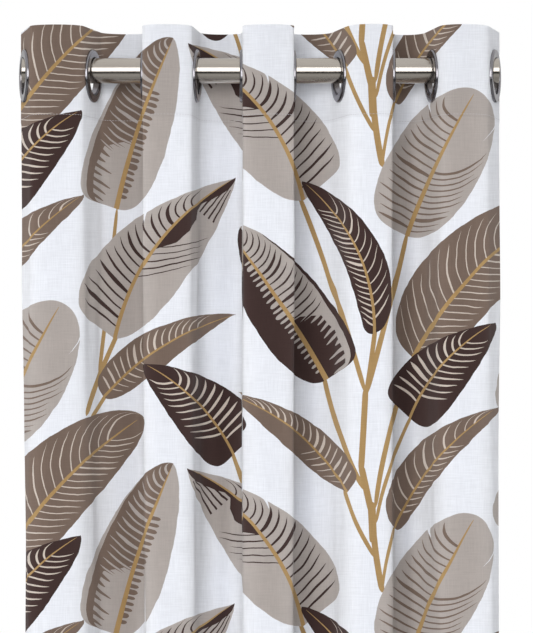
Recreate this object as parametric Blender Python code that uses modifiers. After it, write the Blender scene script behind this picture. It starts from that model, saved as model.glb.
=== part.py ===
"""An eyelet curtain hanging on a plain round rod.

Metres, +Z up. The rod lies along X, the room is on the -Y side and the window on the +Y side. The
origin is the middle of the rod's left end face. The cloth runs through ten eyelets, forward through one
and back through the next, so it hangs in five front folds with four valleys behind the rod between them.
"""

import math

import bmesh
import bpy
import numpy as np
from mathutils import Euler

# Driving sizes: rod and eyelets
ROD_DIAMETER = 0.028
ROD_LENGTH = 0.524
ROD_SIDES = 32
EYELET_HOLE_RADIUS = 0.0203
EYELET_RADIUS = 0.0292
EYELET_THROAT_RADIUS = 0.0249
EYELET_THICKNESS = 0.0082
EYELET_LIP = 0.0022
EYELET_BEVEL = 0.0012
EYELET_SIDES = 20
EYELET_HANG_GAP = 0.0005
GAP = 0.0003

# Driving sizes: cloth
FLAT_WIDTH = 1.350
DROP = 1.600
TOP_EDGE_HEIGHT = 0.0455
FACING_DEPTH = 0.100
HEM_DEPTH = 0.060
LAYER_STEP = 0.003
DOUBLE_THICKNESS = 0.0020
SINGLE_THICKNESS = 0.0012
EYELET_PITCH = 0.136
HEADING_WALL_HALF = 0.032
HANGING_WALL_HALF = 0.021
WALL_RELAX_DEPTH = 0.45
SIDE_EDGE_TURN = math.radians(62)

# How finely the cloth is divided, and how finely a fold is measured and fitted
WALL_STEPS = 4
FOLD_STEPS = 8
SIDE_STEPS = 3
HANGING_ROWS = 11
MEASURE_STEPS = 48
HALVINGS = 40
SHARP_ANGLE = math.radians(40)

# One row for each eyelet, from left to right. x is the place along the rod of the cloth wall that it sits
# in, and turn is how far that wall leans from straight back: plus narrows its front fold towards the room,
# and minus widens it.
EYELET_COLUMNS = ("x", "turn_deg", "hem_x", "hem_turn_deg")
EYELETS = (
    (0.004, 13.5, 0.009, 6.0),
    (0.076, 12.7, 0.080, 9.0),
    (0.136, -3.0, 0.137, 3.0),
    (0.190, 5.8, 0.194, 9.0),
    (0.243, 0.8, 0.240, 4.0),
    (0.296, -3.0, 0.299, 2.0),
    (0.350, 13.0, 0.347, 8.0),
    (0.406, 1.2, 0.409, 5.0),
    (0.452, 9.5, 0.455, 8.0),
    (0.518, 15.0, 0.526, 7.0),
)

CLOTH_BOTTOM = TOP_EDGE_HEIGHT - DROP
FACING_END = TOP_EDGE_HEIGHT - FACING_DEPTH
HEM_TOP = CLOTH_BOTTOM + HEM_DEPTH
EYELET_HEIGHT = -(EYELET_HOLE_RADIUS - ROD_DIAMETER / 2 - EYELET_HANG_GAP)


def smooth(share):
    """0 to 1 with a soft start and end."""
    share = min(max(share, 0.0), 1.0)
    return share * share * (3 - 2 * share)


def wall_at(index, height):
    """(centre, direction) of an eyelet's wall in plan at a height, with the direction from left to right."""
    row = dict(zip(EYELET_COLUMNS, EYELETS[index]))
    share = max(FACING_END - height, 0.0) / (FACING_END - CLOTH_BOTTOM)
    x = row["x"] + (row["hem_x"] - row["x"]) * share
    turn = math.radians(row["turn_deg"] + (row["hem_turn_deg"] - row["turn_deg"]) * share)
    forward = index % 2 == 0
    direction = np.array([math.sin(turn), -math.cos(turn) if forward else math.cos(turn)])
    return np.array([x, 0.0]), direction


def fold_curve(start, leave, end, arrive, handle, steps):
    """Points of the round fold between two walls, a cubic curve that leaves and arrives along them."""
    t = np.linspace(0, 1, steps + 1)[:, None]
    near = start + leave * handle
    far = end - arrive * handle
    return (1 - t) ** 3 * start + 3 * t * (1 - t) ** 2 * near + 3 * t**2 * (1 - t) * far + t**3 * end


def length_of(points):
    return np.linalg.norm(np.diff(points, axis=0), axis=1).sum()


def fold_between(start, leave, end, arrive, cloth_length):
    """The fold that takes up just this much cloth: its handle is found by halving."""
    low, high = 0.0, cloth_length
    for _ in range(HALVINGS):
        handle = (low + high) / 2
        measured = length_of(fold_curve(start, leave, end, arrive, handle, MEASURE_STEPS))
        low, high = (low, handle) if measured > cloth_length else (handle, high)
    return fold_curve(start, leave, end, arrive, handle, FOLD_STEPS)


def side_edge(start, direction, cloth_length, turn):
    """The free side of the cloth past an outer eyelet, curling in behind the rod: turn is plus to the left."""
    points = [start]
    for step in range(SIDE_STEPS):
        angle = turn * (step + 0.5) / SIDE_STEPS
        ahead = np.array(
            [
                direction[0] * math.cos(angle) - direction[1] * math.sin(angle),
                direction[0] * math.sin(angle) + direction[1] * math.cos(angle),
            ]
        )
        points.append(points[-1] + ahead * cloth_length / SIDE_STEPS)
    return np.array(points)


def plan_line(height):
    """The cloth seen from above at a height: points from its left side edge to its right one."""
    share = smooth((FACING_END - height) / WALL_RELAX_DEPTH)
    half = HEADING_WALL_HALF + (HANGING_WALL_HALF - HEADING_WALL_HALF) * share
    fold_cloth = EYELET_PITCH - 2 * half
    side_cloth = (FLAT_WIDTH - EYELET_PITCH * (len(EYELETS) - 1)) / 2 - half
    walls = [wall_at(index, height) for index in range(len(EYELETS))]
    centre, direction = walls[0]
    left_side = side_edge(centre - direction * half, -direction, side_cloth, -SIDE_EDGE_TURN)
    pieces = [left_side[::-1]]
    for index, (centre, direction) in enumerate(walls):
        along = np.linspace(-half, half, WALL_STEPS + 1)[1:, None]
        pieces.append(centre + direction * along)
        if index + 1 < len(walls):
            following, arrive = walls[index + 1]
            start = centre + direction * half
            end = following - arrive * half
            pieces.append(fold_between(start, direction, end, arrive, fold_cloth)[1:])
    centre, direction = walls[-1]
    pieces.append(side_edge(centre + direction * half, direction, side_cloth, SIDE_EDGE_TURN)[1:])
    return np.concatenate(pieces)


def row_heights():
    """Heights of the cloth's rows from the top: both layer steps have a row above and below."""
    hanging = np.linspace(FACING_END - LAYER_STEP, HEM_TOP + LAYER_STEP, HANGING_ROWS + 1)
    return [TOP_EDGE_HEIGHT, FACING_END, *hanging, HEM_TOP, CLOTH_BOTTOM]


def collection(name):
    made = bpy.data.collections.new(name)
    bpy.context.scene.collection.children.link(made)
    return made


def material(name, colour, roughness, metallic):
    made = bpy.data.materials.new(name)
    made.use_nodes = True
    shader = made.node_tree.nodes["Principled BSDF"]
    shader.inputs["Base Color"].default_value = (*colour, 1.0)
    shader.inputs["Roughness"].default_value = roughness
    shader.inputs["Metallic"].default_value = metallic
    made.diffuse_color = (*colour, 1.0)
    return made


def placed(name, mesh, home, parent=None):
    made = bpy.data.objects.new(name, mesh)
    home.objects.link(made)
    made.parent = parent
    return made


def cylinder_mesh(name, radius, length, sides):
    """A cylinder along its own Z, centred."""
    shape = bmesh.new()
    bmesh.ops.create_cone(
        shape, cap_ends=True, segments=sides, radius1=radius, radius2=radius, depth=length
    )
    mesh = bpy.data.meshes.new(name)
    shape.to_mesh(mesh)
    shape.free()
    return mesh


def add_rod(home, parent):
    mesh = cylinder_mesh("curtain_rod", ROD_DIAMETER / 2, ROD_LENGTH, ROD_SIDES)
    mesh.shade_smooth()
    mesh.set_sharp_from_angle(angle=SHARP_ANGLE)
    mesh.materials.append(material("brushed_steel", (0.50, 0.46, 0.41), 0.3, 1.0))
    rod = placed("curtain_rod", mesh, home, parent)
    rod.location = (ROD_LENGTH / 2, 0, 0)
    rod.rotation_euler = (0, math.radians(90), 0)
    return rod


def add_cloth_sheet(home, parent):
    """The cloth as one grid, each of its rows laid along the plan line at that row's height."""
    heights = row_heights()
    lines = [plan_line(height) for height in heights]
    columns = len(lines[0]) - 1
    rows = len(heights) - 1
    shape = bmesh.new()
    bmesh.ops.create_grid(shape, x_segments=columns, y_segments=rows, size=1.0)
    layers = shape.verts.layers.deform.verify()
    for vertex in shape.verts:
        column = round((vertex.co.x + 1) / 2 * columns)
        row = round((1 - vertex.co.y) / 2 * rows)
        x, y = lines[row][column]
        doubled = heights[row] >= FACING_END or heights[row] <= HEM_TOP
        vertex[layers][0] = 1.0 if doubled else 0.0
        vertex.co = (x, y, heights[row])
    mesh = bpy.data.meshes.new("curtain_panel")
    shape.to_mesh(mesh)
    shape.free()
    mesh.shade_smooth()
    mesh.materials.append(material("linen_cloth", (0.76, 0.78, 0.84), 0.9, 0.0))
    cloth = placed("curtain_panel", mesh, home, parent)
    cloth.vertex_groups.new(name="two_layers")
    return cloth


def thicken_cloth(cloth):
    """Single cloth, and double where the facing and the hem are turned over."""
    layer = cloth.modifiers.new("cloth_thickness", "SOLIDIFY")
    layer.thickness = DOUBLE_THICKNESS
    layer.vertex_group = "two_layers"
    layer.thickness_vertex_group = SINGLE_THICKNESS / DOUBLE_THICKNESS
    layer.offset = 0.0
    layer.use_even_offset = True


def eyelet_place(index):
    """(location, rotation) that puts a turned shape's own axis square to its wall of cloth."""
    centre, direction = wall_at(index, EYELET_HEIGHT)
    facing = math.atan2(direction[0], -direction[1])
    return (centre[0], centre[1], EYELET_HEIGHT), Euler((0, math.radians(90), facing))


def eyelet_profile():
    """The ring's section as (radius, height), down its outer side: two flanges that grip the cloth."""
    groove = DOUBLE_THICKNESS / 2 + GAP
    half = EYELET_THICKNESS / 2
    crown = EYELET_RADIUS - 3 * EYELET_BEVEL
    upper = [
        (EYELET_HOLE_RADIUS, half - EYELET_BEVEL),
        (EYELET_HOLE_RADIUS + EYELET_BEVEL, half),
        (crown, half),
        (EYELET_RADIUS, EYELET_LIP),
        (EYELET_RADIUS, groove),
        (EYELET_THROAT_RADIUS, groove),
    ]
    lower = [(radius, -height) for radius, height in reversed(upper)]
    return upper + lower


def eyelet_mesh():
    points = eyelet_profile()
    edges = [(i, (i + 1) % len(points)) for i in range(len(points))]
    mesh = bpy.data.meshes.new("eyelet")
    mesh.from_pydata([(radius, 0, height) for radius, height in points], edges, [])
    mesh.materials.append(material("eyelet_metal", (0.36, 0.34, 0.36), 0.32, 1.0))
    return mesh


def add_eyelet(index, mesh, home, parent):
    ring = placed(f"eyelet_{index + 1:02d}", mesh, home, parent)
    ring.location, ring.rotation_euler = eyelet_place(index)
    turned = ring.modifiers.new("turned", "SCREW")
    turned.angle = math.tau
    turned.steps = EYELET_SIDES
    turned.render_steps = EYELET_SIDES
    turned.use_merge_vertices = True
    turned.merge_threshold = 0.0001
    return ring


def cut_eyelet_holes(cloth, cutters, parent):
    """Round holes in the cloth, just clear of each ring's throat."""
    mesh = cylinder_mesh("eyelet_hole", EYELET_THROAT_RADIUS + GAP, EYELET_THICKNESS, EYELET_SIDES)
    for index in range(len(EYELETS)):
        cutter = placed(f"eyelet_hole_{index + 1:02d}", mesh, cutters, parent)
        cutter.location, cutter.rotation_euler = eyelet_place(index)
        cutter.hide_render = True
        cutter.display_type = "WIRE"
    holes = cloth.modifiers.new("eyelet_holes", "BOOLEAN")
    holes.operand_type = "COLLECTION"
    holes.collection = cutters
    holes.operation = "DIFFERENCE"
    holes.solver = "EXACT"


def main():
    for old in list(bpy.data.objects):
        bpy.data.objects.remove(old)
    home = collection("eyelet_curtain")
    cutters = collection("eyelet_curtain_cutters")
    frame = placed("rod_left_end", None, home)
    add_rod(home, frame)
    cloth = add_cloth_sheet(home, frame)
    thicken_cloth(cloth)
    ring = eyelet_mesh()
    for index in range(len(EYELETS)):
        add_eyelet(index, ring, home, frame)
    cut_eyelet_holes(cloth, cutters, frame)


main()
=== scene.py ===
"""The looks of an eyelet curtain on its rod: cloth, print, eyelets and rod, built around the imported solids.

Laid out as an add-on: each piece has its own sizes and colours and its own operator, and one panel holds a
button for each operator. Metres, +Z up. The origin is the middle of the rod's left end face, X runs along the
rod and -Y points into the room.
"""

import math

import bmesh
import bpy
import numpy as np
from bpy.props import FloatProperty, FloatVectorProperty, PointerProperty
from mathutils import Matrix, Vector


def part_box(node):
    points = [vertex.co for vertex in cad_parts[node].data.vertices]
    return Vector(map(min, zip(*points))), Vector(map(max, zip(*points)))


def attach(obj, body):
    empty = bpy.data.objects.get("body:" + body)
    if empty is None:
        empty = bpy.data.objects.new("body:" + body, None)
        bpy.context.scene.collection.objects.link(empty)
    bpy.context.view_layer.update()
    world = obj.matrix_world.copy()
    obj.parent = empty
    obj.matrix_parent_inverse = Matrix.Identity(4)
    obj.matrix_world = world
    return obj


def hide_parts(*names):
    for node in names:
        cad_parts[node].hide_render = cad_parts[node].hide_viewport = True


bl_info = {
    "name": "Eyelet Curtain",
    "version": (1, 0, 0),
    "blender": (4, 5, 0),
    "location": "View3D > Sidebar > Curtain",
    "description": "Builds a leaf-printed eyelet curtain on its rod",
    "category": "Add Mesh",
}

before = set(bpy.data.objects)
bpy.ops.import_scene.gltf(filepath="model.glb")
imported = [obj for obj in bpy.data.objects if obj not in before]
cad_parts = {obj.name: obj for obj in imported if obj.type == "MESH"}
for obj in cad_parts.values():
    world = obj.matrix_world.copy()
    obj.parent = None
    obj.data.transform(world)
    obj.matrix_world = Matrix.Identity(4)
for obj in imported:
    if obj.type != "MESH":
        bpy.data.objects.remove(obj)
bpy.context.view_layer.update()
BODY = "root"
CLOTH_LOW, CLOTH_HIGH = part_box("curtain_panel")
ROD_LOW, ROD_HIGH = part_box("curtain_rod")
ROD_LENGTH = ROD_HIGH.x - ROD_LOW.x
ROD_RADIUS = (ROD_HIGH.z - ROD_LOW.z) / 2
MM = 0.001

# One row for each eyelet, from left to right. x is the place along the rod of the cloth wall that it sits
# in, and turn is how far that wall leans from straight back: plus narrows its front fold towards the room,
# and minus widens it.
EYELET_COLUMNS = ("x", "turn_deg", "hem_x", "hem_turn_deg")
EYELETS = (
    (0.004, 13.5, 0.009, 6.0),
    (0.076, 12.7, 0.080, 9.0),
    (0.136, -3.0, 0.137, 3.0),
    (0.190, 5.8, 0.194, 9.0),
    (0.243, 0.8, 0.240, 4.0),
    (0.296, -3.0, 0.299, 2.0),
    (0.350, 13.0, 0.347, 8.0),
    (0.406, 1.2, 0.409, 5.0),
    (0.452, 9.5, 0.455, 8.0),
    (0.518, 15.0, 0.526, 7.0),
)

# Slow, shallow unevenness of the hanging cloth, as waves: depth in metres, then the wavelengths across
# and down the cloth, and where each wave starts, in turns.
WAVE_COLUMNS = ("depth", "across", "down", "start")
WAVES = (
    (0.0016, 0.210, 1.10, 0.10),
    (0.0010, 0.118, 0.62, 0.45),
    (0.0006, 0.061, 0.35, 0.80),
    (0.0004, 0.037, 0.23, 0.30),
)

# The print's repeat is a half drop: the next column of leaves stands REPEAT_ACROSS to the right and half of
# REPEAT_DOWN higher.
REPEAT_ACROSS = 0.472
REPEAT_DOWN = 0.468

# Each half of a leaf is printed in one of these ways. Lengths are in millimetres. The veins start spacing
# apart on the rib, and each has drifted towards the tip by sweep_base to sweep_tip where it meets the edge.
# bow is how much of that drift is a curve, swell how much thinner a vein's ends are than its middle, and
# reach how far out it runs. They start between the shares first and last of the leaf's length. rolled, band
# and patch are 1 where the half has a dark rolled tip, a band along its edge or a patch beside the rib in the
# vein colour, and notch is where its edge is slit.
STYLE_COLUMNS = (
    "ground", "vein", "spacing", "thick", "swell", "sweep_base", "sweep_tip", "bow", "reach", "first", "last",
    "rolled", "band", "patch", "notch",
)
STYLES = {
    "wide": ("taupe", "pale", 13.0, 1.7, 0.3, 24, 68, 0.5, 0.98, 0.00, 0.86, 0, 0, 0, 2),
    "close": ("taupe", "pale", 9.3, 1.6, 0.3, 34, 34, 0.2, 0.97, 0.00, 0.82, 0, 0, 0, 2),
    "slim_wide": ("taupe", "pale", 14.0, 1.8, 0.3, 10, 36, 0.8, 0.96, 0.04, 0.84, 0, 0, 0, 2),
    "slim_close": ("taupe", "pale", 8.0, 1.9, 0.4, 12, 22, 0.6, 0.94, 0.10, 0.62, 0, 0, 0, 2),
    "fan": ("taupe", "pale", 8.4, 1.9, 0.35, 0, 32, 0.9, 0.95, 0.03, 0.78, 0, 0, 0, 2),
    "plain": ("taupe", "pale", 9.0, 1.3, 0.3, 15, 18, 0.5, 0.90, 0.06, 0.36, 0, 0, 0, 2),
    "banded": ("taupe", "grey", 8.0, 2.3, 0.4, 12, 22, 0.8, 0.88, 0.30, 0.97, 0, 1, 1, 2),
    "comb": ("grey", "taupe", 7.0, 4.4, 0.0, 2, 4, 0.5, 0.42, 0.06, 0.72, 0, 0, 0, 2),
    "brown_fan": ("brown", "pale", 8.6, 2.8, 0.5, -8, 30, 0.9, 0.97, 0.10, 0.76, 0, 0, 0, 2),
    "brown_side": ("brown", "pale", 8.4, 2.2, 0.35, 22, 30, 0.5, 0.86, 0.16, 0.80, 0, 0, 0, 2),
    "brown_sparse": ("brown", "pale", 12.0, 1.8, 0.35, 18, 36, 0.8, 0.96, 0.04, 0.78, 0, 0, 0, 2),
    "brown_close": ("brown", "pale", 6.5, 1.9, 0.4, 17, 18, 0.5, 0.94, 0.03, 0.76, 0, 0, 0, 2),
    "brown_comb": ("brown", "grey", 6.7, 2.8, 0.0, -4, 4, 0.5, 0.38, 0.08, 0.80, 0, 0, 0, 2),
    "strokes": ("grey", "brown", 9.8, 2.5, 0.45, 4, 34, 1.2, 0.98, 0.06, 0.78, 0, 0, 0, 0.60),
    "rolled": ("grey", "brown", 9.5, 1.8, 0.4, 60, 45, 0.3, 1.00, 0.28, 0.50, 1, 0, 0, 2),
    "fringe": ("grey", "brown", 7.5, 2.2, 0.6, 4, 26, 1.2, 0.94, 0.32, 0.96, 0, 1, 1, 2),
    "grey_fan": ("grey", "taupe", 8.6, 2.4, 0.35, -2, 27, 1.0, 0.97, 0.05, 0.80, 0, 0, 0, 0.82),
    "grey_side": ("grey", "taupe", 6.9, 2.2, 0.25, 8, 68, 0.9, 0.98, 0.05, 0.48, 0, 0, 0, 0.86),
}
# How wide the rolled tip, the edge band and the patch are, as (share of the length, share of the half-width).
ROLLED_TIP = (
    (0.46, 0.0), (0.56, 0.34), (0.65, 0.44), (0.71, 0.36), (0.75, 0.17), (0.79, 0.16), (0.84, 0.32),
    (0.90, 0.52), (0.95, 0.75), (1.0, 1.0),
)
EDGE_BAND = ((0.0, 0.16), (0.3, 0.11), (0.6, 0.07), (0.84, 0.03), (0.86, 0.0))
RIB_PATCH = ((0.0, 0.68), (0.2, 0.72), (0.31, 0.66), (0.40, 0.0))

# One row for each leaf of the repeat, in the order they are drawn, in millimetres across and up from the
# rod's left end. left and right are the greatest half-widths on each side of the rib, seen from base to tip.
# The smaller its base or tip value, the blunter a side is there. rib is the rib's half-width at the base.
LEAF_COLUMNS = (
    "base_across", "base_up", "tip_across", "tip_up", "bend", "rib",
    "left", "left_base", "left_tip", "right", "right_base", "right_tip", "left_style", "right_style",
)
LEAVES = (
    (446, -316, 605, -146, 15, 2.6, 52, 0.25, 0.45, 41, 0.35, 0.50, "wide", "close"),
    (439, -182, 515, -21, 4, 2.8, 55, 0.22, 0.45, 50, 0.50, 0.45, "grey_fan", "grey_side"),
    (103, -620, 166, -432, 5, 3.0, 49, 0.12, 0.42, 38, 0.40, 0.65, "banded", "comb"),
    (425, -503, 539, -370, 13, 1.5, 30, 0.40, 0.85, 15, 0.25, 0.35, "slim_wide", "slim_close"),
    (101, -295, 236, -117, 25, 2.5, 57, 0.12, 0.95, 49, 0.72, 0.88, "strokes", "rolled"),
    (89, -359, 236, -268, 13, 1.5, 26, 0.22, 0.70, 21, 0.50, 1.00, "fan", "plain"),
    (325, -611, 180, -437, -29, 2.6, 58, 0.75, 0.90, 58, 0.08, 1.00, "rolled", "strokes"),
    (233, -422, 134, -322, -11, 1.6, 38, 0.25, 0.60, 46, 0.06, 0.80, "brown_side", "brown_fan"),
    (351, -340, 239, -172, -4, 3.0, 40, 0.45, 0.65, 50, 0.12, 0.42, "brown_comb", "fringe"),
    (403, -289, 323, -121, -23, 1.7, 21, 0.35, 0.50, 26, 0.30, 0.60, "brown_close", "brown_sparse"),
    (374, -464, 233, -352, -17, 1.4, 22, 0.80, 1.15, 24, 0.12, 0.80, "plain", "fan"),
    (442, -382, 536, -277, 12, 1.6, 39, 0.10, 0.85, 37, 0.30, 0.60, "brown_fan", "brown_side"),
)

# One row for each stem of the repeat, in millimetres as above. bend bows it to the left from start to end,
# and width is its half-width.
STEM_COLUMNS = ("start_across", "start_up", "end_across", "end_up", "bend", "width")
STEMS = (
    (104, -150, 84, -337, 0, 2.0),
    (107, -284, 70, -380, -2.5, 2.5),
    (92, -356, 76, -382, 0, 2.0),
    (318, -132, 394, -356, 3.5, 2.7),
    (404, -282, 394, -358, 0.5, 2.4),
    (440, -176, 394, -358, 0, 2.8),
    (394, -348, 389, -442, 0, 3.2),
    (389, -434, 400, -486, 0, 3.4),
    (400, -474, 402, -520, 0, 4.2),
    (402, -506, 412, -574, -1, 3.4),
    (347, -332, 393, -462, -5, 2.7),
    (370, -459, 404, -536, -2.5, 2.2),
    (446, -376, 405, -498, -5.5, 1.9),
    (447, -312, 404, -482, -6, 2.6),
    (425, -500, 411, -574, -1.3, 1.7),
    (229, -415, 244, -458, 1, 2.2),
)


# How finely the cloth is laid out: steps along a wall, a fold between two walls and a free side, and rows
# down the heading, the hanging part and the hem.
WALL_STEPS = 12
FOLD_STEPS = 22
SIDE_STEPS = 9
HEADING_ROWS = 20
HANGING_ROWS = 84
HEM_ROWS = 8
LAYER_STEP = 0.003
# A fold's length is measured in MEASURE_STEPS, and HALVINGS fit it to the cloth that it takes up.
MEASURE_STEPS = 48
HALVINGS = 40
# The unevenness grows over this depth below the heading. Its waves lean to and fro by SWAY turns, SWAY_SLOWER
# times as slowly as they follow each other, and are WAVE_STEADY of their depth, give or take the rest.
WAVES_BEGIN = 0.25
SWAY = 0.35
SWAY_SLOWER = 1.7
WAVE_STEADY = 0.6

# Cloth that runs along the rod by less than these shares of its length counts as hidden from the room:
# wholly at SIDEWAYS_SLOPES, no longer at FACING_SLOPES. The first of each is for the upper part of the cloth,
# and the second takes over below UPPER_PART_END within the depth of PART_CHANGE.
SIDEWAYS_SLOPES = (0.0, 0.05)
FACING_SLOPES = (0.08, 0.20)
UPPER_PART_END = -0.62
PART_CHANGE = 0.3
# On a wall the print runs on by this share of the hidden cloth and comes back. On one wall, and on all the
# cloth to its right, it is also PRINT_JUMP further on.
PRINT_FOLD_SHARE = 0.45
PRINT_JUMP_WALL = 4
PRINT_JUMP = 0.016
# The print is shifted for the view's perspective down to this height from the view.
LOWEST_PRINT_SHIFT = -0.42

# A chart holds values from 0 to 1, so a style's values are stored as a share of this range.
STYLE_LOW = -20.0
STYLE_RANGE = 100.0

# The hand-drawn look of the print. Blotches count the noise in a metre, wobble and curl are in millimetres,
# and the rest are shares, counts and powers. TIP_LINES_AT is the middle and half of a stretch of the leaf.
STEM_END = 8.0
EDGE_BLOTCHES = 60.0
EDGE_WOBBLE = 3.0
CURL_BLOTCHES = 26.0
VEIN_CURL = 6.0
RIB_BLOTCHES = 45.0
SHORTEST_VEIN = 0.14
VEIN_END = 10.0
BOLD_IS_RARE = 5.0
USUAL_VEIN = 0.88
FINGER_POINT = 16.0
SHORTEST_FINGER = 0.12
FINGERS_VARY = 0.35
TIP_LINES = 5.5
TIP_LINE = 0.16
TIP_LINES_AT = (0.84, 0.09)
TIP_LINES_REACH = 0.9
RIB_END = 0.97
RIB_SHADE = 0.86
SLIT_FROM = 0.76
SLIT_OPENS = 0.035

# The noise that stands for the yarns: how much it is stretched along each axis, and how fine it is.
WARP = ((1.0, 0.05, 1.0), 900.0)
WEFT = ((0.06, 1.0, 1.0), 800.0)
# Painted shade: the cloth's colour is this share darker where it is turned over, standing in for less light
# coming through the double layer.
DOUBLED_PAINTED_SHADE = 0.05

# Each stitch fills STITCH_SHARE of its length, is full over STITCH_FULL of that and stands off the cloth by
# STITCH_RISE of its thickness. The row runs STITCH_MARGIN inside the turned edge.
STITCH_SHARE = 0.78
STITCH_FULL = 0.7
STITCH_RISE = 0.2
STITCH_SIDES = 6
STITCH_MARGIN = 0.003

# How far each ring hangs clear of the rod at the top of its hole, how far the cloth stays clear of a ring's
# throat, and the rounding of the hole's edges.
RING_CLEARANCE = 0.5 * MM
THROAT_CLEARANCE = 0.3 * MM
HOLE_ROUNDING = 0.9 * MM
# A point of a ring counts as on a face or rim within this much of it.
ON_FACE = 0.1 * MM
RING_SIDES = 64
ROD_SIDES = 96
# Edges that turn by more than this, in degrees, stay sharp.
SOFT_CLOTH = 50
SOFT_METAL = 35

# How bright the metal mirrors the studio at each height, from -1 straight down to 1 straight up. The dark
# rail just below the horizon gives the rod its thin dark line.
STUDIO_WALLS = (
    (-1.0, 0.30), (-0.72, 0.46), (-0.52, 0.38), (-0.46, 0.02), (-0.21, 0.02), (-0.16, 0.60), (0.4, 0.66),
    (1.0, 0.78),
)
# The floor is a square of this side, and the curtain hangs clear of it.
FLOOR_SIZE = 9.0
FLOOR_GAP = 0.02


# ---------------------------------------------------------------- sizes and colours that a user may change


class CurtainCloth(bpy.types.PropertyGroup):
    flat_width: FloatProperty(
        name="Flat width", description="Width of the panel before it is hung", default=1.350, unit="LENGTH"
    )
    drop: FloatProperty(
        name="Drop", description="Height of the panel", default=CLOTH_HIGH.z - CLOTH_LOW.z, unit="LENGTH"
    )
    top: FloatProperty(
        name="Top edge", description="Top edge above the rod's middle", default=CLOTH_HIGH.z, unit="LENGTH"
    )
    facing: FloatProperty(
        name="Heading facing", description="Depth turned over at the top", default=0.100, unit="LENGTH"
    )
    hem: FloatProperty(
        name="Hem", description="Depth turned up at the bottom", default=0.060, unit="LENGTH"
    )
    pitch: FloatProperty(
        name="Eyelet pitch", description="Cloth from eyelet to eyelet", default=0.136, unit="LENGTH"
    )
    thickness: FloatProperty(
        name="Thickness", description="Thickness of the single cloth", default=0.0010, unit="LENGTH"
    )
    double_thickness: FloatProperty(
        name="Double thickness", description="Thickness where it is turned over", default=0.0018,
        unit="LENGTH",
    )
    heading_wall: FloatProperty(
        name="Heading wall", description="Half the flat wall at an eyelet", default=0.032, unit="LENGTH"
    )
    hanging_wall: FloatProperty(
        name="Hanging wall", description="Half the flat wall lower down", default=0.021, unit="LENGTH"
    )
    relax: FloatProperty(
        name="Relax depth", description="Depth over which the folds soften", default=0.45, unit="LENGTH"
    )
    side_turn: FloatProperty(
        name="Side turn", description="How far a free side curls in", default=math.radians(62),
        subtype="ANGLE",
    )
    stitch: FloatProperty(
        name="Stitch length", description="Length of one stitch", default=0.0034, unit="LENGTH"
    )
    thread: FloatProperty(
        name="Thread", description="Thickness of the sewing thread", default=0.0004, unit="LENGTH"
    )


class CurtainEyelet(bpy.types.PropertyGroup):
    radius: FloatProperty(
        name="Outer radius", description="Outside of the flange", default=0.0292, unit="LENGTH"
    )
    hole: FloatProperty(
        name="Hole radius", description="Hole that the rod runs through", default=0.0203, unit="LENGTH"
    )
    throat: FloatProperty(
        name="Throat radius", description="Neck that the cloth grips", default=0.0249, unit="LENGTH"
    )
    thickness: FloatProperty(
        name="Thickness", description="From flange face to flange face", default=0.0082, unit="LENGTH"
    )
    groove: FloatProperty(
        name="Groove", description="Half the groove for the cloth", default=0.0013, unit="LENGTH"
    )
    dome: FloatProperty(name="Dome", description="Rounding of a flange", default=0.0026, unit="LENGTH")
    colour: FloatVectorProperty(
        name="Metal", description="Pewter of the rings", default=(0.30, 0.29, 0.31), subtype="COLOR"
    )


class CurtainRod(bpy.types.PropertyGroup):
    wall: FloatProperty(
        name="Tube wall", description="Wall of the steel tube", default=0.0012, unit="LENGTH"
    )
    bevel: FloatProperty(
        name="Edge", description="Rounding of the tube's ends", default=0.0006, unit="LENGTH"
    )
    colour: FloatVectorProperty(
        name="Metal", description="Brushed steel of the rod", default=(0.55, 0.505, 0.45), subtype="COLOR"
    )


class CurtainPrint(bpy.types.PropertyGroup):
    cloth: FloatVectorProperty(
        name="Cloth", description="Unprinted linen", default=(0.800, 0.815, 0.855), subtype="COLOR"
    )
    taupe: FloatVectorProperty(
        name="Taupe", description="Taupe leaves", default=(0.202, 0.147, 0.118), subtype="COLOR"
    )
    brown: FloatVectorProperty(
        name="Brown", description="Dark leaves", default=(0.058, 0.034, 0.031), subtype="COLOR"
    )
    grey: FloatVectorProperty(
        name="Grey", description="Light leaves", default=(0.456, 0.413, 0.389), subtype="COLOR"
    )
    ochre: FloatVectorProperty(
        name="Ochre", description="Ribs and stems", default=(0.470, 0.310, 0.135), subtype="COLOR"
    )
    pale: FloatVectorProperty(
        name="Pale vein", description="Veins on the dark leaves", default=(0.62, 0.55, 0.49), subtype="COLOR"
    )


class CurtainStage(bpy.types.PropertyGroup):
    view_distance: FloatProperty(
        name="View distance", description="Camera in front of the rod", default=2.85, unit="LENGTH"
    )
    view_across: FloatProperty(
        name="View across", description="Camera along the rod", default=0.2685, unit="LENGTH"
    )
    view_height: FloatProperty(
        name="View height", description="Camera below the rod", default=-0.2704, unit="LENGTH"
    )
    lens: FloatProperty(name="Lens", description="Focal length", default=147.3, unit="CAMERA")
    key_power: FloatProperty(
        name="Key light", description="Power of the light at the front left", default=90.0, unit="POWER"
    )
    front_power: FloatProperty(
        name="Front light", description="Power of the panel that the rod mirrors", default=50.0, unit="POWER"
    )
    back_power: FloatProperty(
        name="Back light", description="Power of the light behind the curtain", default=150.0, unit="POWER"
    )
    room_light: FloatProperty(
        name="Room light", description="Light that comes from all around", default=0.27, min=0.0
    )


# ---------------------------------------------------------------------------- the path that the cloth takes


def smooth(share):
    """0 to 1 with a soft start and end."""
    share = min(max(share, 0.0), 1.0)
    return share * share * (3 - 2 * share)


def levels(cloth):
    """Heights of the facing's lower end, the hem's upper end and the bottom edge."""
    bottom = cloth.top - cloth.drop
    return cloth.top - cloth.facing, bottom + cloth.hem, bottom


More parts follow.
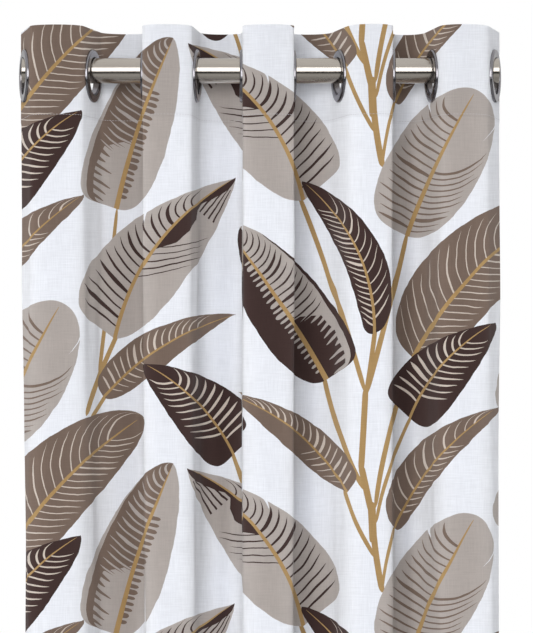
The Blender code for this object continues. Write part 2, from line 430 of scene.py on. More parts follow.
def wall_at(cloth, index, height):
    """(centre, direction) of an eyelet's wall in plan at a height, with the direction from left to right."""
    row = dict(zip(EYELET_COLUMNS, EYELETS[index]))
    facing_end, _, bottom = levels(cloth)
    share = max(facing_end - height, 0.0) / (facing_end - bottom)
    x = row["x"] + (row["hem_x"] - row["x"]) * share
    turn = math.radians(row["turn_deg"] + (row["hem_turn_deg"] - row["turn_deg"]) * share)
    forward = index % 2 == 0
    direction = np.array([math.sin(turn), -math.cos(turn) if forward else math.cos(turn)])
    return np.array([x, 0.0]), direction


def fold_curve(start, leave, end, arrive, handle, steps):
    """Points of the round fold between two walls, a cubic curve that leaves and arrives along them."""
    t = np.linspace(0, 1, steps + 1)[:, None]
    near = start + leave * handle
    far = end - arrive * handle
    return (1 - t) ** 3 * start + 3 * t * (1 - t) ** 2 * near + 3 * t**2 * (1 - t) * far + t**3 * end


def length_of(points):
    return np.linalg.norm(np.diff(points, axis=0), axis=1).sum()


def fold_between(start, leave, end, arrive, cloth_length):
    """The fold that takes up just this much cloth: its handle is found by halving."""
    low, high = 0.0, cloth_length
    for _ in range(HALVINGS):
        handle = (low + high) / 2
        measured = length_of(fold_curve(start, leave, end, arrive, handle, MEASURE_STEPS))
        low, high = (low, handle) if measured > cloth_length else (handle, high)
    return fold_curve(start, leave, end, arrive, handle, FOLD_STEPS)


def side_edge(start, direction, cloth_length, turn):
    """The free side of the cloth past an outer eyelet, curling in behind the rod: plus turns to the left."""
    points = [start]
    for step in range(SIDE_STEPS):
        angle = turn * (step + 0.5) / SIDE_STEPS
        ahead = Matrix.Rotation(angle, 2) @ Vector(direction)
        points.append(points[-1] + np.array(ahead) * cloth_length / SIDE_STEPS)
    return np.array(points)


def plan_line(cloth, height):
    """The cloth seen from above at a height: points from its left side edge to its right one."""
    share = smooth((levels(cloth)[0] - height) / cloth.relax)
    half = cloth.heading_wall + (cloth.hanging_wall - cloth.heading_wall) * share
    fold_cloth = cloth.pitch - 2 * half
    side_cloth = (cloth.flat_width - cloth.pitch * (len(EYELETS) - 1)) / 2 - half
    walls = [wall_at(cloth, index, height) for index in range(len(EYELETS))]
    centre, direction = walls[0]
    left_side = side_edge(centre - direction * half, -direction, side_cloth, -cloth.side_turn)
    lines = [left_side[::-1]]
    for index, (centre, direction) in enumerate(walls):
        along = np.linspace(-half, half, WALL_STEPS + 1)[1:, None]
        lines.append(centre + direction * along)
        if index + 1 < len(walls):
            following, arrive = walls[index + 1]
            start = centre + direction * half
            end = following - arrive * half
            lines.append(fold_between(start, direction, end, arrive, fold_cloth)[1:])
    centre, direction = walls[-1]
    lines.append(side_edge(centre + direction * half, direction, side_cloth, cloth.side_turn)[1:])
    return np.concatenate(lines)


def fold_middles():
    """Place in a plan line of each wall's middle, and of the middle of each fold between two walls."""
    first = SIDE_STEPS + WALL_STEPS // 2
    walls = [first + (WALL_STEPS + FOLD_STEPS) * index for index in range(len(EYELETS))]
    folds = [(left + right) // 2 for left, right in zip(walls, walls[1:])]
    return walls, folds


def row_heights(cloth):
    """Heights of the cloth's rows from the top: both layer steps have a row above and below."""
    facing_end, hem_top, bottom = levels(cloth)
    heading = np.linspace(cloth.top, facing_end, HEADING_ROWS + 1)
    hanging = np.linspace(facing_end - LAYER_STEP, hem_top + LAYER_STEP, HANGING_ROWS + 1)
    hem = np.linspace(hem_top, bottom, HEM_ROWS + 1)
    return np.concatenate([heading, hanging, hem])


def unevenness(cloth, along, height):
    """How far the cloth stands off its plan line, fading to nothing at the heading."""
    depth = np.zeros_like(along)
    for wave in WAVES:
        row = dict(zip(WAVE_COLUMNS, wave))
        sway = SWAY * math.sin(math.tau * height / (row["down"] * SWAY_SLOWER))
        across = np.sin(math.tau * (along / row["across"] + row["start"] + sway))
        down = math.sin(math.tau * (height / row["down"] + row["start"]))
        depth += row["depth"] * across * (WAVE_STEADY + (1 - WAVE_STEADY) * down)
    return depth * smooth((levels(cloth)[0] - height) / WAVES_BEGIN)


def along_line(points):
    """How far each point is along a plan line."""
    return np.concatenate([[0.0], np.cumsum(np.linalg.norm(np.diff(points, axis=0), axis=1))])


def outward(points):
    """Unit normals of a plan line, to its right as it runs from left to right, so towards the room."""
    ahead = np.gradient(points, axis=0)
    ahead /= np.linalg.norm(ahead, axis=1)[:, None]
    return np.column_stack([ahead[:, 1], -ahead[:, 0]])


def print_across(points, height):
    """Where each point of a plan line lies on the print. It runs straight on from fold to fold as seen from
    the room, and doubles back on the walls between them, so it keeps its own size there too. Round the free
    sides it runs on along the cloth."""
    lower = smooth((UPPER_PART_END - height) / PART_CHANGE)
    sideways, facing = (high + (low - high) * lower for high, low in (SIDEWAYS_SLOPES, FACING_SLOPES))
    middles = fold_middles()[1]
    stops = [0, *middles, len(points) - 1]
    across = points[:, 0].copy()
    for wall, (first, last) in enumerate(zip(stops, stops[1:])):
        stretch = points[first : last + 1]
        steps = np.diff(stretch, axis=0)
        lengths = np.linalg.norm(steps, axis=1)
        slope = steps[:, 0] / lengths
        hidden = lengths * np.clip((facing - slope) / (facing - sideways), 0, 1)
        if wall in (0, len(stops) - 2):
            turned = hidden - steps[:, 0] * hidden / lengths
            if wall:
                across[first + 1 : last + 1] += PRINT_JUMP + np.cumsum(turned)
            else:
                across[first:last] -= np.cumsum(turned[::-1])[::-1]
            continue
        share = np.concatenate([[0.0], np.cumsum(hidden)]) / max(hidden.sum(), 1e-6)
        there_and_back = 1 - np.abs(2 * share - 1)
        across[first : last + 1] += PRINT_FOLD_SHARE * hidden.sum() * there_and_back
        if wall == PRINT_JUMP_WALL:
            across[first : last + 1] += PRINT_JUMP * share
        elif wall > PRINT_JUMP_WALL:
            across[first + 1 : last + 1] += PRINT_JUMP
    return across


def print_place(stage, points, height):
    """(across, up) on the print of each point of a plan line, as seen from where the view is."""
    nearness = 1 - points[:, 1] / stage.view_distance
    seen = points.copy()
    seen[:, 0] = stage.view_across + (points[:, 0] - stage.view_across) * nearness
    shift = max(height - stage.view_height, LOWEST_PRINT_SHIFT) * (nearness - 1)
    return print_across(seen, height), height + shift


# ------------------------------------------------------------------------------------------- the materials


class Value:
    """An output in a shader tree. Sums and comparisons with it add the nodes that work them out."""

    def __init__(self, tree, socket):
        self.tree = tree
        self.socket = socket

    def clamped(self):
        """Keeps this sum between 0 and 1."""
        self.socket.node.use_clamp = True
        return self


def worked_out(operation, swapped):
    """The method behind a sign, with the value on its right if swapped."""

    def method(self, other=0.0):
        return calc(self.tree, operation, *((other, self) if swapped else (self, other)))

    return method


for sign, operation in (("add", "ADD"), ("sub", "SUBTRACT"), ("mul", "MULTIPLY"), ("truediv", "DIVIDE")):
    setattr(Value, f"__{sign}__", worked_out(operation, False))
    setattr(Value, f"__r{sign}__", worked_out(operation, True))
for sign, operation in (("pow", "POWER"), ("lt", "LESS_THAN"), ("gt", "GREATER_THAN"), ("abs", "ABSOLUTE")):
    setattr(Value, f"__{sign}__", worked_out(operation, False))


def feed(tree, socket, value):
    """Links an output to the socket, or sets it to a plain value."""
    if isinstance(value, Value):
        tree.links.new(value.socket, socket)
    elif isinstance(value, (tuple, Vector)) and len(value) == 3 and socket.type == "RGBA":
        socket.default_value = (*value, 1.0)
    else:
        socket.default_value = value


def add_node(tree, kind, *values, **settings):
    """The first output of a new node, which has these settings, and its inputs linked or set in order."""
    node = tree.nodes.new("ShaderNode" + kind)
    for name, setting in settings.items():
        setattr(node, name, setting)
    inputs = [socket for socket in node.inputs if socket.enabled]
    for socket, value in zip(inputs, values):
        feed(tree, socket, value)
    return Value(tree, next(socket for socket in node.outputs if socket.enabled))


def calc(tree, operation, *values):
    return add_node(tree, "Math", *values, operation=operation)


def vector_calc(tree, operation, *values):
    return add_node(tree, "VectorMath", *values, operation=operation)


def blend(tree, kind, share, first, second):
    """Mix of two vectors, floats or colours: kind is VECTOR, FLOAT or RGBA."""
    return add_node(tree, "Mix", share, first, second, data_type=kind, clamp_factor=False)


def vector(tree, x, y, z):
    return add_node(tree, "CombineXYZ", x, y, z)


def parts_of(tree, value):
    node = add_node(tree, "SeparateXYZ", value).socket.node
    return tuple(Value(tree, socket) for socket in node.outputs)


def noise(tree, place, scale, detail=2.0, roughness=0.5):
    """A noise with that many blotches in a metre."""
    return add_node(tree, "TexNoise", place, scale, detail, roughness)


def scaled(tree, colour, shade):
    return vector_calc(tree, "SCALE", colour, shade)


def ramp(tree, key, rows, interpolation="LINEAR"):
    """Colours that follow on one another along the key, from (key, colour) rows."""
    made = add_node(tree, "ValToRGB", key)
    steps = made.socket.node.color_ramp
    steps.interpolation = interpolation
    while len(steps.elements) < len(rows):
        steps.elements.new(0.5)
    for element, (position, colour) in zip(steps.elements, rows):
        element.position = position
        element.color = (*colour, 1.0)
    return made


def profile(tree, key, points):
    """A line through the (key, value) points."""
    return ramp(tree, key, [(position, (value,) * 3) for position, value in points])


def chart(tree, key, rows):
    """Looks up a row of three values by its number, which is the key."""
    numbered = [(index / len(rows), row) for index, row in enumerate(rows)]
    return ramp(tree, (key + 0.5) / float(len(rows)), numbered, "CONSTANT")


def group(name, inputs, outputs):
    """(tree, its inputs by name, leave) of a new shader node group. A socket is (name, kind), and leave takes
    the group's outputs by name."""
    tree = bpy.data.node_groups.new(name, "ShaderNodeTree")
    for in_out, sockets in (("INPUT", inputs), ("OUTPUT", outputs)):
        for label, kind in sockets:
            tree.interface.new_socket(label, in_out=in_out, socket_type="NodeSocket" + kind)
    entry = tree.nodes.new("NodeGroupInput")
    way_out = tree.nodes.new("NodeGroupOutput")

    def leave(**values):
        for label, value in values.items():
            feed(tree, way_out.inputs[label], value)
        return tree

    return tree, {socket.name: Value(tree, socket) for socket in entry.outputs if socket.name}, leave


def feed_all(tree, node, values):
    """Feeds a node's inputs by name, with spaces as underscores."""
    for label, value in values.items():
        feed(tree, node.inputs[label.replace("_", " ")], value)


def place_group(tree, made, **values):
    """The outputs by name of a group node in the tree, with its inputs given by name."""
    node = tree.nodes.new("ShaderNodeGroup")
    node.node_tree = made
    feed_all(tree, node, values)
    return {socket.name: Value(tree, socket) for socket in node.outputs}


def new_material(name, **settings):
    """(material, tree, shader) with the shader's own sockets set by name."""
    made = bpy.data.materials.new(name)
    made.use_nodes = True
    shader = made.node_tree.nodes["Principled BSDF"]
    feed_all(made.node_tree, shader, settings)
    return made, made.node_tree, shader


def nearest(tree, given):
    """(along, left) from the middle of the copy of a leaf or stem that is nearest in the repeat."""
    offset = vector_calc(tree, "SUBTRACT", given["Repeat"], given["Centre"])
    near = vector_calc(tree, "WRAP", offset, (0.5, 0.5, 0.5), (-0.5, -0.5, -0.5))
    return [vector_calc(tree, "DOT_PRODUCT", near, given[axis]) for axis in ("Along", "Left")]


STROKE_INPUTS = (
    ("Repeat", "Vector"), ("Centre", "Vector"), ("Along", "Vector"), ("Left", "Vector"), ("Bend", "Float"),
)


def leaf_outline_group():
    """One leaf of the repeat: t runs along its rib from 0 to 1, y is the distance from the bowed rib to the
    left, and r is that distance as a share of the leaf's half-width there."""
    inputs = (*STROKE_INPUTS, ("Left Shape", "Vector"), ("Right Shape", "Vector"), ("Wobble", "Float"))
    outputs = (("Place", "Vector"), ("Side", "Float"), ("Inside", "Float"))
    tree, given, leave = group("leaf_outline", inputs, outputs)
    t, y = nearest(tree, given)
    t = t + 0.5
    rest = 1.0 - t
    y = y - t * rest * given["Bend"]
    side = y > 0.0
    shape = blend(tree, "VECTOR", side, given["Right Shape"], given["Left Shape"])
    widest, base, tip = parts_of(tree, shape)
    half = t**base * rest**tip * widest
    reach = abs(y) + given["Wobble"]
    r = reach / calc(tree, "MAXIMUM", half, MM)
    return leave(Place=vector(tree, t, y, r), Side=side, Inside=reach < half)


def stem_line_group():
    """Adds one bowed stem of the repeat to the stems so far."""
    inputs = (*STROKE_INPUTS, ("Half Width", "Float"), ("Stems So Far", "Float"))
    tree, given, leave = group("stem_line", inputs, (("Stems", "Float"),))
    t, y = nearest(tree, given)
    ends = t * t * 4.0
    away = abs(y - (1.0 - ends) * given["Bend"])
    drawn = away < (1.0 - ends**STEM_END) * given["Half Width"]
    return leave(Stems=calc(tree, "MAXIMUM", drawn, given["Stems So Far"]))


def repeat_place(across, up):
    """A place on the print as a share of the half-drop repeat."""
    columns = across / REPEAT_ACROSS
    return columns, up / REPEAT_DOWN - columns * 0.5


def repeat_axis(across, up):
    """The direction whose dot product with a share of the repeat measures along (across, up)."""
    return across * REPEAT_ACROSS + up * REPEAT_DOWN / 2, up * REPEAT_DOWN, 0.0


def stroke(row, first, last):
    """(its place for its group, length) of a leaf or stem that runs from its first end to its last."""
    start, end = (Vector((row[name + "_across"] * MM, row[name + "_up"] * MM)) for name in (first, last))
    length = (end - start).length
    across, up = (end - start) / length
    along = tuple(value / length for value in repeat_axis(across, up))
    centre = (*repeat_place(*((start + end) / 2)), 0.0)
    return {"Centre": centre, "Along": along, "Left": repeat_axis(-up, across)}, length


def leaf_shape(row, side):
    """(scale, base, tip) of one side for the outline group: its greatest half-width is then the table's."""
    base, tip = row[side + "_base"], row[side + "_tip"]
    widest = base / (base + tip)
    return row[side] * MM / (widest**base * (1 - widest) ** tip), base, tip


def draw_stems(tree, repeat):
    """1 on a stem."""
    stem_line = stem_line_group()
    stems = 0.0
    for values in STEMS:
        row = dict(zip(STEM_COLUMNS, values))
        stems = place_group(
            tree, stem_line, Repeat=repeat, **stroke(row, "start", "end")[0],
            Bend=row["bend"] * MM, Half_Width=row["width"] * MM, Stems_So_Far=stems,
        )["Stems"]
    return stems


def draw_leaves(tree, repeat, wobble):
    """(place in the uppermost leaf, its style, length and rib, 1 on a leaf)."""
    outline = leaf_outline_group()
    names = list(STYLES)
    place = (0.0, 0.0, 0.0)
    drawing = (0.0, 0.1, 0.0)
    any_leaf = 0.0
    for values in LEAVES:
        row = dict(zip(LEAF_COLUMNS, values))
        placed, length = stroke(row, "base", "tip")
        leaf = place_group(
            tree, outline, Repeat=repeat, **placed, Bend=4 * row["bend"] * MM,
            Left_Shape=leaf_shape(row, "left"), Right_Shape=leaf_shape(row, "right"), Wobble=wobble,
        )
        halves = [(names.index(row[half]), length, row["rib"] * MM) for half in ("right_style", "left_style")]
        style = blend(tree, "VECTOR", leaf["Side"], *halves)
        place = blend(tree, "VECTOR", leaf["Inside"], place, leaf["Place"])
        drawing = blend(tree, "VECTOR", leaf["Inside"], drawing, style)
        any_leaf = calc(tree, "MAXIMUM", any_leaf, leaf["Inside"])
    return place, drawing, any_leaf


def style_values(tree, style, *columns):
    """Three columns of the style in hand."""
    places = [STYLE_COLUMNS.index(column) for column in columns]
    rows = [
        tuple((values[place] - STYLE_LOW) / STYLE_RANGE for place in places) for values in STYLES.values()
    ]
    spread = vector_calc(tree, "MULTIPLY", chart(tree, style, rows), (STYLE_RANGE,) * 3)
    return parts_of(tree, vector_calc(tree, "ADD", spread, (STYLE_LOW,) * 3))


def leaf_print_group(ink):
    """The leaf print. Place is across and up the print in metres."""
    tree, given, leave = group("leaf_print", (("Place", "Vector"),), (("Colour", "Color"),))
    print_at = given["Place"]
    across, up, _ = parts_of(tree, print_at)
    repeat = vector(tree, *repeat_place(across, up), 0.0)
    stems = draw_stems(tree, repeat)
    wobble = noise(tree, print_at, EDGE_BLOTCHES) * (EDGE_WOBBLE * MM)
    place, drawing, any_leaf = draw_leaves(tree, repeat, wobble)
    t, y, r = parts_of(tree, place)
    style, length, rib_width = parts_of(tree, drawing)

    def inks_of(column):
        named = [values[STYLE_COLUMNS.index(column)] for values in STYLES.values()]
        return chart(tree, style, [tuple(getattr(ink, name)) for name in named])

    spacing, thick, swell = style_values(tree, style, "spacing", "thick", "swell")
    sweep_base, sweep_tip, bow = style_values(tree, style, "sweep_base", "sweep_tip", "bow")
    reach, first, last = style_values(tree, style, "reach", "first", "last")
    rolled, band, patch = style_values(tree, style, "rolled", "band", "patch")
    notch = style_values(tree, style, "notch", "notch", "notch")[0]

    sweep = blend(tree, "FLOAT", t, sweep_base, sweep_tip)
    curve = r * blend(tree, "FLOAT", bow, 1.0, r)
    from_base = t * length / MM - (sweep * curve - noise(tree, print_at, CURL_BLOTCHES, 1.0) * VEIN_CURL)
    along = from_base / spacing
    number = calc(tree, "FLOOR", along)
    within = abs(calc(tree, "FRACT", along) - 0.5)
    chance = add_node(tree, "TexWhiteNoise", vector(tree, number, style, length), noise_dimensions="3D")
    short, bold, _ = parts_of(tree, Value(tree, chance.socket.node.outputs["Color"]))
    outward_share = r / (reach * (1.0 - short * SHORTEST_VEIN))
    from_middle = outward_share * 2.0 - 1.0
    body = (1.0 - swell * (from_middle * from_middle)) * (1.0 - outward_share**VEIN_END).clamped()
    fullness = bold**BOLD_IS_RARE + USUAL_VEIN
    half_vein = fullness * body * 0.5 * thick / spacing
    root = (number + 0.5) * spacing * MM / length
    vein = (within < half_vein) * ((root > first) * (root < last))

    finger = (1.0 - within * within * FINGER_POINT).clamped() * (short * FINGERS_VARY + SHORTEST_FINGER)
    patched = profile(tree, t, RIB_PATCH) * patch - finger > r
    banded = r > 1.0 - profile(tree, t, EDGE_BAND) * band
    vein = calc(tree, "MAXIMUM", vein, calc(tree, "MAXIMUM", patched, banded))
    colour = blend(tree, "RGBA", vein, inks_of("ground"), inks_of("vein"))

    rolled_over = profile(tree, t, ROLLED_TIP) * rolled > r
    middle, half = TIP_LINES_AT
    fine = (abs(calc(tree, "FRACT", r * TIP_LINES) - 0.5) < TIP_LINE) * rolled
    fine = fine * (abs(t - middle) < half) * (r < TIP_LINES_REACH)
    colour = blend(tree, "RGBA", calc(tree, "MAXIMUM", rolled_over, fine), colour, tuple(ink.brown))

    rib = abs(y) < (RIB_END - t).clamped() ** 0.5 * rib_width
    faded = tuple(RIB_SHADE * value for value in ink.ochre)
    rib_ink = blend(tree, "RGBA", noise(tree, print_at, RIB_BLOTCHES, 3.0), tuple(ink.ochre), faded)
    colour = blend(tree, "RGBA", rib, colour, rib_ink)

    at_edge = (from_base + sweep) * MM / length
    split = abs(at_edge - notch) < (r - SLIT_FROM) * SLIT_OPENS
    colour = blend(tree, "RGBA", any_leaf, rib_ink, colour)
    inked = calc(tree, "MAXIMUM", (any_leaf - split).clamped(), stems * (1.0 - any_leaf))
    return leave(Colour=blend(tree, "RGBA", inked, tuple(ink.cloth), colour))


def linen_weave_group():
    """Slubby plain weave. Shade darkens the thin places, and Height stands for the yarns."""
    outputs = (("Shade", "Float"), ("Height", "Float"))
    tree, given, leave = group("linen_weave", (("Place", "Vector"),), outputs)
    warp, weft = (
        noise(tree, vector_calc(tree, "MULTIPLY", given["Place"], stretch), yarns, 1.0)
        for stretch, yarns in (WARP, WEFT)
    )
    thin = warp + weft - noise(tree, given["Place"], 28.0) * 0.35
    return leave(Shade=thin * 0.16 + 0.87, Height=calc(tree, "MAXIMUM", warp, weft))


def brushed_metal_group():
    """Fine scratches along the place's X axis, and soft cloudiness."""
    outputs = (("Shade", "Float"), ("Roughness", "Float"), ("Height", "Float"))
    tree, given, leave = group("brushed_metal", (("Place", "Vector"), ("Stretch", "Vector")), outputs)
    stretched = vector_calc(tree, "MULTIPLY", given["Place"], given["Stretch"])
    scratches = noise(tree, stretched, 1200.0, 3.0, 0.65)
    shade = scratches * 0.20 + (noise(tree, given["Place"], 24.0) * 0.1 + 0.85)
    return leave(Shade=shade, Roughness=scratches * 0.14 + 0.10, Height=scratches)


def own_place(tree):
    return Value(tree, tree.nodes.new("ShaderNodeTexCoord").outputs["Object"])


def bumped(tree, shader, height, distance, strength):
    node = tree.nodes.new("ShaderNodeBump")
    feed_all(tree, node, {"Strength": strength, "Distance": distance, "Height": height})
    tree.links.new(node.outputs[0], shader.inputs["Normal"])


def cloth_material(name, cloth, ink, leaf_print, weave, strength):
    """Printed linen, strength being how much of the ink shows on this side. Where it is turned over, its
    colour is painted darker, a painted shade for the light that comes through it less there."""
    made, tree, shader = new_material(
        name, Roughness=0.92, Diffuse_Roughness=1.0, Sheen_Weight=0.03, Specular_IOR_Level=0.15
    )
    place = add_node(tree, "UVMap", uv_map="print")
    linen = place_group(tree, weave, Place=place)
    printed = place_group(tree, leaf_print, Place=place)["Colour"]
    if strength < 1:
        printed = blend(tree, "RGBA", strength, tuple(ink.cloth), printed)
    height = parts_of(tree, own_place(tree))[2]
    facing_end, hem_top, _ = levels(cloth)
    # Painted shade: darker colour at the heading and hem, for the light that comes through the doubled cloth
    # less.
    doubled = 1.0 - ((height > facing_end) + (height < hem_top)) * DOUBLED_PAINTED_SHADE
    feed(tree, shader.inputs["Base Color"], scaled(tree, printed, doubled * linen["Shade"]))
    bumped(tree, shader, linen["Height"], 0.0004, 0.35)
    return made


def metal_material(name, colour, stretch, brushed, roughness_scale=1.0):
    made, tree, shader = new_material(name, Metallic=1.0)
    finish = place_group(tree, brushed, Place=own_place(tree), Stretch=stretch)
    feed(tree, shader.inputs["Base Color"], scaled(tree, vector(tree, *colour), finish["Shade"]))
    feed(tree, shader.inputs["Roughness"], finish["Roughness"] * roughness_scale)
    bumped(tree, shader, finish["Height"], 0.00004, 0.25)
    return made


def thread_material():
    made, tree, shader = new_material("white_thread", Roughness=0.6, Specular_IOR_Level=0.3)
    ply = noise(tree, own_place(tree), 900.0)
    # The thread is white; its grey colour is partly painted shade, standing in for the thin shadow it casts
    # on the white cloth, and it also keeps the thread faint over the print.
    feed(tree, shader.inputs["Base Color"], scaled(tree, (0.58, 0.57, 0.60), ply * 0.2 + 0.85))
    bumped(tree, shader, ply, 0.0001, 0.3)
    return made


# ---------------------------------------------------------------------------------------------- the pieces


def deselect_all():
    if bpy.context.mode != "OBJECT":
        bpy.ops.object.mode_set(mode="OBJECT")
    bpy.ops.object.select_all(action="DESELECT")


def finish_piece(piece, slot, *nodes):
    """Lets a finished piece ride on the body in place of its solids."""
    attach(piece, BODY)
    if nodes:
        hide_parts(*nodes)


def pick(piece):
    deselect_all()
    piece.select_set(True)
    bpy.context.view_layer.objects.active = piece


def apply_all(piece):
    pick(piece)
    for modifier in list(piece.modifiers):
        bpy.ops.object.modifier_apply(modifier=modifier.name)
    bpy.ops.object.transform_apply(location=True, rotation=True, scale=True)


def smooth_edges(piece, degrees):
    pick(piece)
    bpy.ops.object.shade_smooth_by_angle(angle=math.radians(degrees))


def piece_of(shape, name):
    """A new piece with the mesh that the shape holds."""
    mesh = bpy.data.meshes.new(name)
    shape.to_mesh(mesh)
    shape.free()
    piece = bpy.data.objects.new(name, mesh)
    bpy.context.scene.collection.objects.link(piece)
    return piece


def cloth_grid(cloth, stage):
    """The cloth as a sheet with no thickness, with its print UV and the weight of its double layers."""
    heights = row_heights(cloth)
    facing_end, hem_top, _ = levels(cloth)
    lines = []
    prints = []
    for height in heights:
        points = plan_line(cloth, height)
        prints.append(print_place(stage, points, height))
        lines.append(points + outward(points) * unevenness(cloth, along_line(points), height)[:, None])
    columns = len(lines[0]) - 1
    rows = len(heights) - 1
    shape = bmesh.new()
    bmesh.ops.create_grid(shape, x_segments=columns, y_segments=rows, size=1.0)
    layers = shape.verts.layers.deform.verify()
    places = {}
    for vertex in shape.verts:
        column = round((vertex.co.x + 1) / 2 * columns)
        row = round((1 - vertex.co.y) / 2 * rows)
        places[vertex] = (row, column)
        doubled = heights[row] >= facing_end - MM or heights[row] <= hem_top + MM
        vertex[layers][0] = 1.0 if doubled else 0.0
        vertex.co = (*lines[row][column], heights[row])
    uv = shape.loops.layers.uv.new("print")
    for face in shape.faces:
        for loop in face.loops:
            row, column = places[loop.vert]
            across, up = prints[row]
            loop[uv].uv = (across[column], up[column])
    return shape, places


def open_eyelet_holes(cloth, eyelet, shape, places):
    """Takes out the cloth inside each eyelet, with the edge drawn onto a true circle."""
    radius = eyelet.throat + THROAT_CLEARANCE
    height = eyelet_height(eyelet)
    onto_circle = {}
    for index, middle in enumerate(fold_middles()[0]):
        centre, direction = wall_at(cloth, index, height)
        for vertex, (_, column) in places.items():
            if abs(column - middle) > WALL_STEPS:
                continue
            along = (vertex.co.x - centre[0]) * direction[0] + (vertex.co.y - centre[1]) * direction[1]
            up = vertex.co.z - height
            reach = math.hypot(along, up)
            if reach < radius:
                along, up = along * radius / max(reach, MM), up * radius / max(reach, MM)
                onto_circle[vertex] = (*(centre + direction * along), height + up)
    gone = [face for face in shape.faces if all(vertex in onto_circle for vertex in face.verts)]
    bmesh.ops.delete(shape, geom=gone, context="FACES")
    for vertex, place in onto_circle.items():
        if vertex.is_valid:
            vertex.co = place


def build_cloth(cloth, eyelet, stage, ink):
    shape, places = cloth_grid(cloth, stage)
    open_eyelet_holes(cloth, eyelet, shape, places)
    piece = piece_of(shape, "printed_panel")
    piece.vertex_groups.new(name="two_layers")
    leaf_print = leaf_print_group(ink)
    weave = linen_weave_group()
    for name, strength in (("printed_linen", 1.0), ("printed_linen_back", 0.45)):
        piece.data.materials.append(cloth_material(name, cloth, ink, leaf_print, weave, strength))
    layer = piece.modifiers.new("cloth_thickness", "SOLIDIFY")
    layer.thickness = cloth.double_thickness
    layer.vertex_group = "two_layers"
    layer.thickness_vertex_group = cloth.thickness / cloth.double_thickness
    layer.offset = 0.0
    layer.use_even_offset = True
    layer.material_offset = 1
    layer.material_offset_rim = 0
    apply_all(piece)
    smooth_edges(piece, SOFT_CLOTH)
    finish_piece(piece, "linen_cloth", "curtain_panel")
    facing_end, hem_top, _ = levels(cloth)
    build_stitches(cloth, "heading_stitches", facing_end + STITCH_MARGIN)
    build_stitches(cloth, "hem_stitches", hem_top - STITCH_MARGIN)
    return piece


def build_stitches(cloth, name, height):
    """A row of lockstitch that holds the turned cloth down, one small thread seen on each face."""
    points = plan_line(cloth, height)
    along = along_line(points)
    facing = outward(points)
    points = points + facing * unevenness(cloth, along, height)[:, None]
    half = cloth.stitch * STITCH_SHARE / 2
    thread = cloth.thread / 2
    full = STITCH_FULL * half
    rings = ((-half, 1, 0.0), (-full, STITCH_SIDES, thread), (full, STITCH_SIDES, thread), (half, 1, 0.0))
    shape = bmesh.new()
    for place in np.arange(cloth.stitch, along[-1] - cloth.stitch, cloth.stitch):
        for face in (1.0, -1.0):
            x, y, out_x, out_y = (
                np.interp(place, along, line[:, axis]) for line in (points, facing) for axis in (0, 1)
            )
            middle = Vector((x, y, height))
            out = Vector((out_x, out_y, 0.0)).normalized() * face
            ahead = Vector((-out.y, out.x, 0.0))
            middle += out * (cloth.double_thickness / 2 + STITCH_RISE * thread)
            loops = []
            for shift, sides, radius in rings:
                turns = [math.tau * side / sides for side in range(sides)]
                rims = [(out * math.cos(turn) + Vector((0, 0, math.sin(turn)))) * radius for turn in turns]
                loops.append([shape.verts.new(middle + ahead * shift + rim) for rim in rims])
            for side in range(STITCH_SIDES):
                after = (side + 1) % STITCH_SIDES
                shape.faces.new((loops[0][0], loops[1][side], loops[1][after]))
                shape.faces.new((loops[1][side], loops[2][side], loops[2][after], loops[1][after]))
                shape.faces.new((loops[2][side], loops[3][0], loops[2][after]))
    bmesh.ops.recalc_face_normals(shape, faces=shape.faces)
    piece = piece_of(shape, name)
    smooth_edges(piece, SOFT_CLOTH)
    piece.data.materials.append(bpy.data.materials.get("white_thread") or thread_material())
    finish_piece(piece, "linen_cloth")


def eyelet_height(eyelet):
    """Height of the rings' middles: each hangs on the rod by the top of its hole."""
    return -(eyelet.hole - ROD_RADIUS - RING_CLEARANCE)


def at_radius(radius):
    """Test for an edge or face whose points all lie that far from the Z axis."""
    return lambda part: all(abs(math.hypot(v.co.x, v.co.y) - radius) < ON_FACE for v in part.verts)


def model_eyelet(eyelet):
    """One ring about the Z axis: a pierced disc, its flanges rounded, its rim cut in to a throat."""
    deselect_all()
    bpy.ops.mesh.primitive_cylinder_add(
        vertices=RING_SIDES, radius=eyelet.radius, depth=eyelet.thickness, end_fill_type="NGON"
    )
    ring = bpy.context.object
    bpy.ops.object.mode_set(mode="EDIT")
    bpy.ops.mesh.select_mode(type="FACE")
    select(ring, faces=lambda face: len(face.verts) > 4)
    bpy.ops.mesh.inset(thickness=eyelet.radius - eyelet.hole)
    bpy.ops.mesh.delete(type="ONLY_FACE")
    bpy.ops.mesh.select_mode(type="EDGE")
    on_hole = at_radius(eyelet.hole)
    on_rim = at_radius(eyelet.radius)
    select(ring, edges=lambda edge: on_hole(edge) and len(edge.link_faces) == 1)
    bpy.ops.mesh.bridge_edge_loops()
    half = eyelet.thickness / 2

    def on_end(edge):
        return all(abs(abs(v.co.z) - half) < ON_FACE for v in edge.verts)

    select(ring, edges=lambda edge: on_rim(edge) and on_end(edge))
    bpy.ops.mesh.bevel(offset=eyelet.dome, segments=5, profile=0.6, affect="EDGES")
    select(ring, edges=lambda edge: on_hole(edge) and on_end(edge))
    bpy.ops.mesh.bevel(offset=HOLE_ROUNDING, segments=4, affect="EDGES")
    for height in (-eyelet.groove, eyelet.groove):
        bpy.ops.mesh.select_all(action="SELECT")
        bpy.ops.mesh.bisect(plane_co=(0, 0, height), plane_no=(0, 0, 1))
    bpy.ops.mesh.select_mode(type="FACE")
    groove = eyelet.groove + ON_FACE / 10
    select(ring, faces=lambda face: on_rim(face) and all(abs(v.co.z) < groove for v in face.verts))
    bpy.ops.mesh.extrude_region()
    shrink = eyelet.throat / eyelet.radius
    bpy.ops.transform.resize(value=(shrink, shrink, 1), center_override=(0, 0, 0))
    bpy.ops.mesh.select_all(action="SELECT")
    bpy.ops.mesh.remove_doubles(threshold=1e-6)
    bpy.ops.mesh.normals_make_consistent(inside=False)
    bpy.ops.object.mode_set(mode="OBJECT")
    return ring


